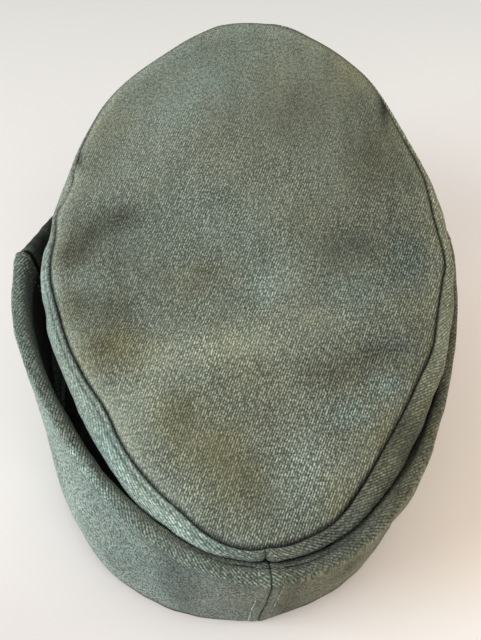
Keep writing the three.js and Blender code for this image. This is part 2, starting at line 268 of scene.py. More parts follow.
# Soft folds of the top panel: middle of each (mm in the frame), direction of its length in
# degrees from +X, half length, half width and height.
TOP_FOLDS = [
    [0, 59, 2, 62, 8, 1.5], [-2, 42, 2, 60, 9, -1.1], [58, 22, 70, 10, 7, -1.6],
    [34, 88, 25, 30, 12, 1], [-40, 84, -30, 26, 9, -0.8], [-46, 40, 60, 28, 10, 0.7],
    [4, 112, 5, 30, 6, -0.7], [20, -10, 15, 40, 12, 0.8], [-26, -34, -20, 34, 10, -0.9],
    [8, -62, 0, 30, 9, 0.8], [46, 58, 40, 16, 6, 0.6], [-58, 66, 80, 20, 5, 0.7],
    [-64, -33, 112, 8, 2.2, -3], [-58, -38, 112, 12, 4, 1.6], [44, -36, 60, 16, 6, -0.7],
]

# Waves of the crown's wall: angle, distance under the top seam, half width round the cap (in
# degrees), half width down the wall, height, and how far the fold leans along for each mm down.
WALL_FOLDS = [
    [0, 5, 2, 7, -1.3, 0], [5, 3, 1.6, 4, 0.7, 0.3], [-5, 4, 1.8, 5, 0.6, -0.3],
    [18, 8, 4, 7, 0.5, 0.2], [-18, 7, 4, 6, 0.5, -0.2], [38, 6, 3, 6, -0.6, 0.5],
    [62, 7, 5, 8, -0.7, 0.4], [84, 6, 2.5, 6, -0.8, -0.5], [106.5, 5, 5, 10, -2.4, 0],
    [-40, 6, 3, 6, -0.6, -0.5], [-66, 8, 4, 8, 0.6, -0.3], [-88, 6, 3, 7, -0.7, 0.4],
    [104, 26, 3, 12, 0.6, 0.1], [122, 26, 3.5, 18, -1.6, 0.12], [136, 22, 3, 18, 1.2, -0.1],
    [150, 34, 4, 20, -1, 0], [-108, 8, 8, 10, 0.5, 0], [-108, 26, 3, 12, 0.7, -0.1],
    [-124, 26, 3.5, 18, -1.5, -0.1], [-138, 24, 3, 18, 1.1, 0.12], [-154, 36, 4, 20, -1, 0],
    [136, 6, 6, 6, 1, 0], [-137, 6, 6, 6, 1.1, 0], [168, 40, 5, 24, 1, 0], [-170, 44, 5, 22, 0.9, 0],
]

# Waves of the flap's outer side, in the same columns; the distance is measured up from the rim.
FLAP_FOLDS = [
    [14, 34, 6, 20, 0.7, 0.05], [30, 22, 5, 14, -0.8, 0], [46, 34, 7, 16, 0.6, -0.05],
    [66, 28, 8, 16, -0.6, 0.06], [84, 36, 6, 14, 0.5, 0], [-12, 30, 6, 20, 0.6, -0.05],
    [-24, 34, 5, 20, 0.6, 0], [-37, 40, 4.5, 22, -1.3, 0], [-50, 44, 7, 22, 1.2, 0.05],
    [-70, 34, 8, 16, -0.5, 0], [-86, 24, 6, 14, 0.5, 0], [-99, 56, 10, 16, 2.6, 0],
    [-78, 56, 12, 16, -0.7, 0], [118, 20, 5, 14, 0.8, 0], [-118, 22, 5, 14, -0.8, 0],
    [-150, 16, 5, 14, 0.7, 0], [150, 18, 5, 14, -0.6, 0],
]


def folds_round(table, angle, down):
    """Height of the folds in a table at an angle and a distance."""
    total = 0 * angle
    for place, level, wide, long, high, lean in table:
        aside = np.mod(angle - place + 180, 360) - 180 - lean * (down - level)
        total += high * hump(aside, wide) * hump(down - level, long)
    return total


def folds_across(table, x, y):
    """Height of the folds in a table at a place on the top panel."""
    total = 0 * x
    for middle_x, middle_y, turn, long, wide, high in table:
        c = math.cos(math.radians(turn))
        s = math.sin(math.radians(turn))
        along = (x - middle_x) * c + (y - middle_y) * s
        aside = (y - middle_y) * c - (x - middle_x) * s
        total += high * hump(along, long) * hump(aside, wide)
    return total


def rolled_edge(angle):
    """1 in front, where the crown's edge is a soft roll without a groove, and 0 behind."""
    return smooth(118, 140, np.abs(angle))


def pulled_flat(angle):
    """Near 1 in front of the wearer's left ear, where the top seam is pulled flat."""
    return hump(angle - 116, 12)


def groove(distance, wide, angle, flat):
    """Depth of the top seam's groove at a distance from it, in mm. flat: how much of it is gone
    where the seam is pulled flat."""
    left = (1 - 0.85 * rolled_edge(angle)) * (1 - flat * pulled_flat(angle))
    return np.exp(-(distance / wide) ** 1.3) * left


def rounded(distance, radius):
    """Share of the thickness left at a distance from an edge that is rounded off."""
    near = 1 - np.clip(distance / radius, 0, 1)
    return np.sqrt(np.maximum(1 - near * near, 0.0)) * 0.94 + 0.06


# ---- cloth meshes


def normals_of(grid):
    """Unit normals of a grid of points, by differences along its two directions."""
    return unit(np.cross(np.gradient(grid, axis=0), np.gradient(grid, axis=1)))


def lengths(grid, axis):
    """Distance along a grid's rows or columns, starting at 0."""
    steps = np.linalg.norm(np.diff(grid, axis=axis), axis=-1)
    start = np.zeros_like(np.take(steps, [0], axis=axis))
    return np.concatenate([start, np.cumsum(steps, axis=axis)], axis=axis)


def add_object(name, points, faces, material, node, cloth=None, layers=()):
    """A smooth piece of the cap. node: the CAD node that it stands for, if any. cloth, layers: its
    points' places on the flat cloth, and the named numbers that the material reads there."""
    mesh = bpy.data.meshes.new(name)
    mesh.from_pydata((points * MM).tolist(), [], faces)
    mesh.update()
    mesh.polygons.foreach_set("use_smooth", [True] * len(mesh.polygons))
    mesh.materials.append(material)
    if cloth is not None:
        place = mesh.attributes.new("cloth", "FLOAT_VECTOR", "POINT")
        place.data.foreach_set("vector", (cloth * MM).astype(np.float32).ravel())
    for key in layers:
        layer = mesh.attributes.new(key, "FLOAT", "POINT")
        layer.data.foreach_set("value", np.asarray(layers[key], dtype=np.float32).ravel())
    piece = bpy.data.objects.new(name, mesh)
    bpy.context.scene.collection.objects.link(piece)
    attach(piece, "root")
    if node:
        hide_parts(node)


def quads(a, b, c, d):
    """Faces between four grids of point numbers."""
    return np.stack([a, b, c, d], axis=-1).reshape(-1, 4).tolist()


def grid_faces(index, flip=False):
    """Faces of a whole grid of point numbers. flip: they look the other way."""
    a, b, c, d = index[:-1, :-1], index[1:, :-1], index[1:, 1:], index[:-1, 1:]
    return quads(a, d, c, b) if flip else quads(a, b, c, d)


def tube(first, rings, sides):
    """Point numbers of a tube's rings, each with its first point once more at its end."""
    index = first + np.arange(rings * sides).reshape(rings, sides)
    return np.concatenate([index, index[:, :1]], axis=1)


def cloth_body(name, outer, inner, cloth, ribs, layers, material, centre=None):
    """A closed body of cloth between two grids. cloth: places on the flat cloth; ribs: direction
    of the twill's ribs there, in degrees. layers: nap (how far the fuzz hides the ribs), the fading
    layer (pale above 0, dark below: the cloth's own fading together with painted shade and painted
    highlights) and tone (warm above 0, cool below) of its outer side. centre: the two points in the
    middle and their place on the flat cloth, when the rows run all round."""
    rows, columns = outer.shape[:2]
    points = np.concatenate([outer.reshape(-1, 3), inner.reshape(-1, 3)])
    points[:, 2] = np.maximum(points[:, 2], TABLE_GAP)
    index = np.arange(rows * columns).reshape(rows, columns)
    if centre is not None:
        index = np.concatenate([index, index[:1]])
    other = index + rows * columns
    faces = grid_faces(index) + grid_faces(other, flip=True)
    faces += quads(index[1:, -1], other[1:, -1], other[:-1, -1], index[:-1, -1])
    if centre is None:
        faces += quads(index[:-1, 0], other[:-1, 0], other[1:, 0], index[1:, 0])
        faces += quads(index[0, :-1], index[0, 1:], other[0, 1:], other[0, :-1])
        faces += quads(index[-1, 1:], index[-1, :-1], other[-1, :-1], other[-1, 1:])
    cloth = np.concatenate([cloth.reshape(-1, 3)] * 2)
    layers = {key: np.concatenate([value.ravel()] * 2) for key, value in layers.items()}
    if centre is not None:
        top, below, place = centre
        last = len(points)
        points = np.concatenate([points, [top, below]])
        cloth = np.concatenate([cloth, [place, place]])
        layers = {key: np.concatenate([value, value[:1], value[:1]]) for key, value in layers.items()}
        for a, b in zip(index[:-1, 0].tolist(), index[1:, 0].tolist()):
            faces.append([last, b, a])
            faces.append([last + 1, a + rows * columns, b + rows * columns])
    layers["turn"] = np.full(len(points), math.radians(90 - ribs))
    add_object(name, points, faces, material, name, cloth, layers)


# ---- the top panel

# Patches of the top panel: middle, half widths, warmth (brown above 0, blue below), fading
# (pale above 0, dark below: partly the cloth's own fading, partly painted light and shade on its
# soft ridges and creases, and the two narrow dark patches are painted shade in the folds at the
# seam) and how far the nap is brushed up.
TOP_PATCHES = [
    [61, 17, 8, 6, 1, -1.1, -0.2], [49, 10, 10, 7, 0.4, -0.9, -0.1], [58, 29, 8, 5, 0, 0.4, 0],
    [38, 8, 8, 5, 0.2, -0.6, 0], [60, 38, 7, 8, 1.1, -0.5, -0.3], [46, 43, 8, 6, 0.6, -0.6, 0],
    [47, 56, 10, 8, 1.7, -0.6, -0.4], [44, 60, 22, 14, 0.7, 0.2, 0], [22, 95, 8, 7, 0.9, 0, 0],
    [13, 35, 14, 8, 0.8, -0.3, 0], [24, 84, 8, 8, 1.4, -0.4, 0], [11, 97, 8, 9, 1.5, -0.1, 0],
    [2, 109, 10, 12, 1.6, -0.4, 0], [38, 62, 10, 7, 0.6, 0, 0], [5, 25, 12, 8, -0.3, 0, 0],
    [45, 28, 20, 24, 0, -0.45, 0], [-40, 24, 16, 16, 0.1, -0.35, 0], [-24, 105, 16, 10, -0.3, 0.3, 0],
    [-30, 118, 8, 6, 0.8, 0, 0], [-30, -30, 18, 18, 0.3, -0.5, 0], [50, -22, 10, 16, 0, -0.3, 0],
    [0, 78, 28, 20, 0.8, 0, 0], [-38, 72, 11, 6, 0.7, -0.6, 0], [-30, 74, 8, 4, 0, -0.4, 0],
    [-46, 66, 9, 5, 0.2, -0.6, 0], [-59, 63, 8, 4, -0.8, -0.5, 0], [-38, 87, 9, 5, -1.4, 0.4, 0.1],
    [-51, 77, 8, 5, -1.5, 0.4, 0.1], [-12, 40, 8, 7, -0.5, 0.7, 0.1], [-48, 42, 13, 9, -0.9, 0, 0],
    [-65, 27, 8, 10, -1.4, -0.4, 0.1], [-43, 26, 10, 7, -0.3, -0.5, 0], [25, 66, 10, 8, -0.1, 0.8, 0.3],
    [38, 78, 12, 9, 0, 0.8, 0.3], [2, 62, 18, 7, 0.2, 1.1, 0.3], [-29, 54, 16, 5, 0.5, 0.5, 0.2],
    [-58, 46, 16, 5, 0.4, 0.4, 0.2], [-58, -13, 11, 16, 1, -0.4, 0], [-50, -44, 11, 8, 0.9, 0.3, 0.2],
    [-64, -33, 2, 7, 0.2, -1.6, 0], [57.5, -21, 1.6, 4, 0.2, -2.6, 0], [-18, -48, 16, 14, 0.5, 0.1, 0],
    [5, -47, 10, 8, -0.5, 0.3, 0.2], [17, -35, 10, 9, -0.4, 0.4, 0.2], [29, -22, 10, 9, -0.1, 0.4, 0.2],
    [41, -10, 9, 8, 0, 0.3, 0.2], [43, -33, 9, 9, 0.7, 0.1, 0.1], [-12, -15, 22, 25, 0.3, -0.1, -0.1],
    [40, 92, 9, 10, 0, 0.5, 0.4], [25, 109, 9, 9, 0, 0.5, 0.4], [-19, 103, 9, 12, -0.4, 0.5, 0.1],
    [-49, 93, 8, 10, 0.6, 0.1, 0], [-35, 112, 8, 9, 0.7, 0.1, 0],
]


def patches(table, x, y, column):
    """Sum of one column of a table of patches, at a place on the top panel."""
    total = 0 * x
    for row in table:
        total += row[column] * hump(x - row[0], row[2]) * hump(y - row[1], row[3])
    return total


TOP_RIBS = 65.0          # direction of the twill's ribs, from +X


def top_relief(x, y, edge):
    """Folds and the cloth's own unevenness, which end at the seam."""
    relief = folds_across(TOP_FOLDS, x, y) * smooth(0, 12, edge)
    relief += lumps(x, y, 26, 7) * 0.35 * smooth(0, 10, edge)
    return relief + lumps(x, y, 9, 8) * 0.07 * smooth(0, 4, edge)


def top_looks(x, y, angle, edge, round_seam):
    left = smooth(0, 50, x)
    # Painted shade: the seam's groove is a dark line. Beside it the edge is paler, partly from wear and
    # partly a painted highlight on the raised cloth beside the seam.
    line = (1.7 + 0.5 * lumps(round_seam, 0, 15, 9)) * (1 - 0.85 * pulled_flat(angle))
    fade_and_shade = -0.3 + patches(TOP_PATCHES, x, y, 5) - line * hump(edge, 0.3) * (1 - rolled_edge(angle))
    fade_and_shade += 0.9 * left * hump(edge - 1.1, 0.8)
    fade_and_shade += (0.65 * left + 0.4 * smooth(60, 35, y) * (1 - left)) * hump(edge - 2.5, 2.8)
    # It is a little darker towards the front and on the right.
    fade_and_shade = fade_and_shade - 0.25 * smooth(-20, -60, x) - 0.2 * smooth(-15, -60, y)
    fade_and_shade -= 0.2 * smooth(-40, -62, x) * smooth(40, 0, y)
    nap = 0.02 + 0.5 * patches(TOP_PATCHES, x, y, 6) + 0.4 * left * hump(edge - 2.5, 3)
    nap += 0.25 * smooth(75, 35, y) + 0.6 * smooth(0, -50, y + 0.3 * x)
    nap += 0.12 * smooth(15, 48, x) - 0.25 * smooth(-42, -60, x)
    tone = patches(TOP_PATCHES, x, y, 4) + 0.65 * smooth(10, -75, x) - 0.1
    tone += 0.5 * hump(edge, 5) * smooth(-20, -50, x)
    return dict(nap=nap, fade_and_shade=fade_and_shade, tone=tone)


def top_panel(material):
    # Rings from near the middle to the seam, as shares of the way, closest together at the seam.
    depths = spread_out(2.0, 0.018, 0.05, 0.25)
    shares = np.sort(1 - depths[depths <= 1.0])
    shares = shares[shares > 0.02]
    angles = np.linspace(-180, 180, 361)[:-1]
    angle, ring = np.meshgrid(angles, shares, indexing="ij")
    back = seam_at(np.array(0.0))
    front = seam_at(np.array(180.0))
    middle = (back + front) / 2

    def ridge(y):
        share = (back[1] - y) / (back[1] - front[1])
        return mix(back[2], front[2], share) + 4 * TOP.dome * share * (1 - share)

    seam = seam_at(angle) - seam_out(angle) * TOP.seam_gap
    x = mix(middle[0], seam[..., 0], ring)
    y = mix(middle[1], seam[..., 1], ring)
    edge = (1 - ring) * np.hypot(seam[..., 0] - middle[0], seam[..., 1] - middle[1])
    round_seam = lengths(np.concatenate([seam, seam[:1]])[:, -1:], 0)[:-1]
    z = ridge(y) + (seam[..., 2] - ridge(seam[..., 1])) * ring ** 2.4 + top_relief(x, y, edge)
    # Small puckers along the seam, on the low ridge over its allowance.
    pucker = lumps(round_seam, 0, 9.0, 5) * 0.35 + np.sin(round_seam / 3.4 * 2 * np.pi) * 0.1
    z += pucker * hump(edge - 2.4, 3.2) * (1 - 0.9 * rolled_edge(angle))
    z += 0.3 * hump(edge - 2.4, 2.0) - groove(edge, 0.35, angle, 0.6)
    outer = join(x, y, z)
    thick = PLY * TOP.ply_share
    tuck = seam_out(angle) * 1.6 * np.exp(-edge / 2)[..., None]
    inner = outer - join(0 * x, 0 * x, 0 * x + thick) - tuck
    top = np.array([middle[0], middle[1], ridge(middle[1])])
    top += np.array([0, 0, top_relief(top[0], top[1], TOP.half_width)])
    centre = (top, top - np.array([0, 0, thick]), top * [1, 1, 0])
    cloth_body("crown_top", outer, inner, join(x, y, 0 * x), TOP_RIBS,
               top_looks(x, y, angle, edge, round_seam), material, centre)


# ---- the crown's wall


def tucked(points):
    """Keeps points of the wall inside the flap."""
    angle = rim_angle(points)
    rim, out = rim_at(angle)
    reach = ((points - rim) * out).sum(-1)
    limit = flap_inside(angle, points[..., 2] - rim[..., 2])
    return points + out * np.minimum(0, limit - reach)[..., None]


def along_rows(coarse, counts, ease=1.0):
    """A fine grid on smooth curves through a coarse grid's columns, counts steps to each. An
    ease over 1 sets the first steps closer together."""
    before = 2 * coarse[:, :1] - coarse[:, 1:2]
    after = 2 * coarse[:, -1:] - coarse[:, -2:-1]
    padded = np.concatenate([before, coarse, after], 1)
    pieces = []
    for k, count in enumerate(counts):
        a, b, c, d = (padded[:, k + step, None] for step in range(4))
        t = ((np.arange(count) / count) ** (ease if k == 0 else 1.0))[None, :, None]
        pieces.append(through(a, b, c, d, t))
    return np.concatenate([*pieces, coarse[:, -1:]], 1)


WALL_STEPS = [12, 5, 4, 4, 4, 4, 10, 8, 8, 6]   # between the rows of the wall's section
WALL_LENGTH = 1.62                              # mm round the wall for each degree, about
WALL_RIBS = Named(left=-17.0, right=-37.0)      # direction of the twill's ribs against the seam
WALL_WEAVE = 0.9                                # scale of its places on the flat cloth
# Paler and darker stretches of the wall, the darker ones behind the wearer's right partly painted
# shade where the wall sinks into the flap: angle, half width in degrees and amount.
WALL_SHADES = [[-110, 25, 0.3], [-80, 20, -0.15], [-51, 12, -1.4], [-36, 9, -0.75],
               [-21, 11, -1.45], [0, 9, -0.4], [34, 13, 1.1]]


def wall_section(angles, seam):
    """A coarse grid of the wall's outer side, from the top seam to the wall's lower edge."""
    out = seam_out(angles)
    bulge = station(angles, "bulge")
    upper = []
    for share, down, _ in WALL_UPPER:
        # The seam's small bends die out down the wall.
        row = seam_at(angles, 1 - smooth(0.03, 2.2, share + down))
        row += out * (bulge * share - 0.25 * (share < 0.1))[:, None]
        upper.append(row - np.array([0, 0, WALL.bulge_drop * down]))
    below = rim_angle(seam)
    base = beside_rim(below, -WALL.base_in, WALL.base_up)
    lower = []
    for share in WALL_LOWER:
        slack = -4 * share * (1 - share) * station(below, "slack")
        lower.append(mix(base, upper[-1], share) + rim_at(below)[1] * slack[:, None])
    return np.stack([*upper, *lower], axis=1)


def wall_looks(angle, down, round_seam, ridge):
    rolled = rolled_edge(angle)
    left = smooth(15, 55, angle) * (1 - smooth(110, 135, angle))
    fade_and_shade = bands(WALL_SHADES, angle) + 0.3 * left
    fade_and_shade += 0.4 * smooth(5, 25, angle) - 0.2 * smooth(60, 85, angle)
    # Paler on the bulge, most at the wearer's left: partly worn cloth, partly a painted highlight.
    fade_and_shade += (0.2 + 1.4 * hump(angle - 95, 8)) * left * hump(down - 6, 6) + 0.3 * hump(down - 4, 3)
    fade_and_shade += 0.15 * lumps(round_seam, down, 18, 24)
    # Painted shade: dark lines in the seam's groove and below the ridge, and the wall painted dark
    # deep inside the flap and low behind the wearer's right.
    line = 2.0 * hump(down, 0.5) + 0.9 * left * hump(down, 1.6)
    fade_and_shade -= line * (1 - rolled) * (1 - 0.85 * pulled_flat(angle))
    fade_and_shade -= 1.3 * hump(down - 2.5, 0.4) * ridge
    fade_and_shade -= 2.5 * smooth(9, 16, down) * (1 - smooth(100, 140, np.abs(angle)))
    fade_and_shade -= 1.1 * hump(angle + 24, 14) * smooth(3, 9, down)
    nap = 0.2 + 0.25 * smooth(5, 25, angle) + 0.35 * smooth(45, 80, angle) * hump(down - 6, 8)
    nap += 0.1 * smooth(0, -30, angle)
    tone = -1.1 * smooth(-15, 20, angle) * smooth(108, 94, angle) + 1.2 * smooth(-18, -45, angle)
    tone = tone * smooth(155, 115, np.abs(angle)) + 0.2 * lumps(round_seam, down, 24, 25)
    return dict(nap=nap, fade_and_shade=fade_and_shade, tone=tone)


def wall_piece(name, start, end, ribs, material):
    length = (end - start) * WALL_LENGTH
    angles = start + (end - start) * spread_out(length, 0.2, 1.35, 5) / length
    seam = seam_at(angles)
    grid = along_rows(wall_section(angles, seam), WALL_STEPS, 1.6)
    down = lengths(grid, 1)
    angle = angles[:, None] + 0 * down
    round_seam = lengths(seam[:, None], 0) + 0 * down
    ends = np.minimum(angle - start, end - angle) * WALL_LENGTH
    relief = folds_round(WALL_FOLDS, angle, down) * smooth(0, 4, down)
    relief += lumps(round_seam, down, 16, 21) * 0.35 * smooth(1, 8, down)
    relief += lumps(round_seam, down, 6, 22) * 0.1 * smooth(1, 4, down)
    # The seam allowance under the cloth stands up as a narrow ridge behind the wearer's left,
    # and the seam pulls small slanting puckers into it.
    rolled = rolled_edge(angle)
    ridge = smooth(4, 16, angle) * (1 - smooth(96, 118, angle)) * 0.75 + 0.25 * (1 - rolled)
    relief += ridge * (0.65 * hump(down - 1.2, 0.8) - 0.8 * hump(down - 2.5, 0.5))
    slant = np.sin((round_seam + 1.1 * down) / 2.5 * 2 * np.pi + 1.5 * lumps(round_seam, 0, 14, 23))
    relief += 0.3 * slant * ridge * hump(down - 1.5, 1.5)
    relief = relief * (1 - 0.7 * hump(angle - 112, 8)) - groove(down, 0.5, angle, 0.85)
    relief -= 0.5 * hump(ends, 1.5) * (1 - rolled)
    outer = tucked(grid + normals_of(grid) * relief[..., None])
    # Share of the ply's thickness, less near the top seam and at both ends.
    rows = np.cumsum([0, *WALL_STEPS[:len(WALL_UPPER) - 1]])
    thin = np.interp(np.arange(grid.shape[1]), rows, WALL_UPPER[:, 2])
    thin = thin[None, :] * rounded(ends, 0.9)
    inner = outer - normals_of(outer) * (PLY * np.maximum(thin, 0.15))[..., None]
    cloth = join(-round_seam, -down, 0 * down) * WALL_WEAVE
    layers = wall_looks(angle, down, round_seam, ridge)
    cloth_body(name, outer, inner, cloth, ribs, layers, material)


# ---- the flap

BACK_ROWS = [3.6]        # topstitching runs this far beside the back seam
SIDE_ROWS = [1.8, 5.8]   # and this far behind a side seam
ALLOWANCE = 0.3          # cloth between a seam and its last row is this much higher
FLAP_RIBS = -39.0        # direction of the twill's ribs against the flap's length
END_STEP = 1.2           # the front part starts this far inside the rear part's end
REAR_SEAM = Named(at_rim=-0.9, at_crest=-3.1)     # the back seam leans, by degrees round the rim
FLAP_LENGTH = 1.66       # mm round the flap for each degree, about
# Rows of the flap's section, from the inner ply's end over the crest and the rim to the foot.
FLAP_ROWS = Named(inner=24, crest=12, outer=43, turn=6, foot=6)
CREST_ROW = FLAP_ROWS.inner + FLAP_ROWS.crest // 2
LENGTH_ROW = 40          # the row along which lengths round the flap are measured
# Darker stretches of the flap's outer side: angle, half width in degrees and amount.
FLAP_SHADES = [[-13, 12, -0.3], [-8, 8, -0.3], [4, 12, -0.3], [19, 8, -0.8]]


def flap_grid(angles, foot):
    """The doubled cloth's middle line, from the inner ply's end over the crest to the foot, as
    distances out from the rim and up from it."""
    height = flap_height(angles)
    roll = station(angles, "roll")
    crest = height - PLY / 2 - roll
    level = 0 * height
    places = []
    for share in np.linspace(1, 0.08, FLAP_ROWS.foot):
        places.append((-FLAP.fold_in - foot * share, level + PLY / 2))
    # The turn at the rim, from level to upright.
    corner = -FLAP.fold_in * 0.98
    across = outer_ply(angles, level + FLAP.fold_up) - corner
    for turn in np.radians(np.linspace(0, 90, FLAP_ROWS.turn + 1)[:-1]):
        up = PLY / 2 + (FLAP.fold_up - PLY / 2) * (1 - math.cos(turn))
        places.append((corner + across * math.sin(turn), level + up))
    for share in np.linspace(0, 1, FLAP_ROWS.outer + 1)[:-1]:
        up = mix(FLAP.fold_up, crest, share)
        places.append((outer_ply(angles, up), up))
    middle = outer_ply(angles, crest) - roll
    for turn in np.radians(np.linspace(0, 180, FLAP_ROWS.crest + 1)[:-1]):
        places.append((middle + roll * math.cos(turn), crest + roll * math.sin(turn)))
    for share in np.linspace(0, 1, FLAP_ROWS.inner) ** 1.15:
        up = mix(crest, height * (1 - FLAP.inner_share), share)
        places.append((inner_ply(angles, up), up))
    return np.stack(places[::-1], axis=-1)


def flap_looks(angle, over, path, round_rim, ends):
    """path: distance along the cloth from the foot's end. over: the same from the crest, above 0
    on the inner side. ends: distance from the nearer end."""
    right = smooth(-1, -10, angle)
    away = np.abs(angle)
    behind = 1 - smooth(40, 85, away)
    # The crest and the inner side differ from the outer side below them.
    strip = smooth(-2.2, -0.6, over - 2.2 * hump(angle - 46, 12) - 0.5 * right)
    below = bands(FLAP_SHADES, angle) - 0.25 * right + 0.25 * smooth(0, 12, angle) + smooth(32, 56, angle)
    late = smooth(70, 85, angle)
    upper = 0.1 * behind - 0.8 * right - 0.3 * hump(angle - 8, 10) - 0.3 * late
    upper -= 0.5 * smooth(28, 45, angle) * (1 - late)
    # Painted light and shade: a highlight along the crest, where its edge catches the light, and a contact
    # shadow on the foot, dark where it meets the table.
    fade_and_shade = mix(below, upper, strip) + 0.35 * hump(over + 1.6, 1.0) - 1.2 * smooth(11.5, 9.0, path) - 0.65
    # Painted light lifts the inner strip at the back out of the wall's shade, and painted shade darkens the
    # cloth deep inside the flap.
    inside = over - station(angle, "reach") - 4 * (1 - smooth(20, 35, away))
    fade_and_shade += 0.6 * behind * smooth(2, 6, over) - 2.6 * smooth(5, 10, inside - 5 * smooth(60, 80, angle))
    # Painted shade in the seams at the pieces' ends, and on the inner side of the scallop in front.
    side = FLAP.side_seam
    scallop = smooth(side - 1, side + 3, away) * (1 - smooth(135, 150, away))
    fade_and_shade = fade_and_shade - 1.2 * hump(ends, 0.5) - 1.2 * scallop * smooth(-5, 0, over)
    fade_and_shade += 0.4 * hump(path - 14, 8) * smooth(8, 18, angle) + 0.15 * lumps(round_rim, path, 20, 34)
    ribbed = smooth(mix(-9, -2, right), mix(-0.5, 0.6, right), over)
    nap = mix(0.85, 0.25, ribbed) + 0.1 * lumps(round_rim, path, 14, 36)
    tone = -1.1 * smooth(-2, 25, angle) * (1 - 0.4 * strip) + 1.8 * right * (1 - strip)
    tone += strip * (smooth(-18, -42, angle) + 0.3 * right)
    tone = tone * smooth(135, 95, away) + 0.15 * lumps(round_rim, path, 26, 35)
    return dict(nap=nap, fade_and_shade=fade_and_shade, tone=tone)


def flap_piece(name, start, end, material, seams, threads):
    """seams: for each end, the distances of its topstitched rows. threads: gets the rows."""
    side = FLAP.side_seam
    length = (end - start) * FLAP_LENGTH
    angles = start + (end - start) * spread_out(length, 0.2, 1.35, 6) / length
    lap = smooth(FLAP.lap_from, FLAP.lap_to, angles) if end > 180 else 0 * angles
    out, up = flap_grid(angles, mix(FLAP.foot, FLAP.lap_foot, lap))
    rise = np.maximum.accumulate(up[:, ::-1], axis=1)[:, ::-1] / FLAP.height
    near_back = 1 - smooth(0, FLAP.rear_seam_reach, np.abs(angles))
    angle = angles[:, None] + near_back[:, None] * mix(REAR_SEAM.at_rim, REAR_SEAM.at_crest, rise)
    thinner = (1 - smooth(side, side + 22, np.abs(angles))) * (np.abs(angles) > side) * END_STEP
    middle = beside_rim(angle, out + (FLAP.lap_out * lap - thinner)[:, None], up)
    path = lengths(middle[:, ::-1], 1)[:, ::-1]
    over = path - path[:, CREST_ROW][:, None]
    round_rim = lengths(middle[:, LENGTH_ROW, None], 0) + 0 * path
    from_end = round_rim[-1:] - round_rim
    outside = smooth(4, -4, over)
    relief = folds_round(FLAP_FOLDS, angle, up) * outside
    relief += lumps(round_rim + start, path, 26, 31) * 0.35 * (1 - 0.8 * hump(over, 12))
    relief += lumps(round_rim + start, path, 8, 32) * 0.1
    relief *= smooth(0, 12, path)
    # The outer side is fuller at the back seam, and the inner ply there bulges in to the wall.
    relief += 1.1 * hump(angle - REAR_SEAM.at_rim, 5) * outside * smooth(0, 4, path)
    relief += 1.6 * hump(over - 6, 3) * (1 - smooth(32, 60, np.abs(angle)))
    sewn_rows = []
    for rows, distance in zip(seams, (round_rim, from_end)):
        if rows:
            relief += ALLOWANCE * (1 - smooth(rows[-1] - 0.6, rows[-1] + 0.6, distance))
            relief -= 0.3 * hump(distance, 0.5)
        for row in rows:
            relief -= 0.3 * hump(distance - row, 0.7)
            relief += 0.12 * np.sin(path / 3.1 * 2 * np.pi) * hump(distance - row, 1.4)
            sewn_rows.append((distance, row))
    ends = np.minimum(round_rim, from_end)
    half = PLY / 2 * rounded(ends, 0.75)
    middle += normals_of(middle) * relief[..., None]
    normal = normals_of(middle)
    outer = middle + normal * half[..., None]
    inner = middle - normal * half[..., None]
    beyond = lengths(outer, 1)[:, CREST_ROW][:, None] - lengths(outer, 1)
    beyond *= 1 - 0.45 * smooth(-1, -10, angle) * smooth(-1, -4, beyond)
    cloth = join(-round_rim, beyond, 0 * over)
    layers = flap_looks(angle, over, path, round_rim, ends)
    cloth_body(name, outer, inner, cloth, FLAP_RIBS, layers, material)
    columns = np.arange(outer.shape[1])
    for distance, row in sewn_rows:
        nearest = np.abs(distance - row).argmin(axis=0)
        threads.append((outer[nearest, columns], normal[nearest, columns]))


# ---- the peak

PEAK_LENGTH = 1.9        # mm round the peak for each degree, about
PEAK_RIBS = 62.0         # direction of the twill's ribs, from +X
PEAK_ROW = 4.5           # the stitched row runs this far inside the edge
PEAK_SIDES = 5.0         # and starts this far from the sides


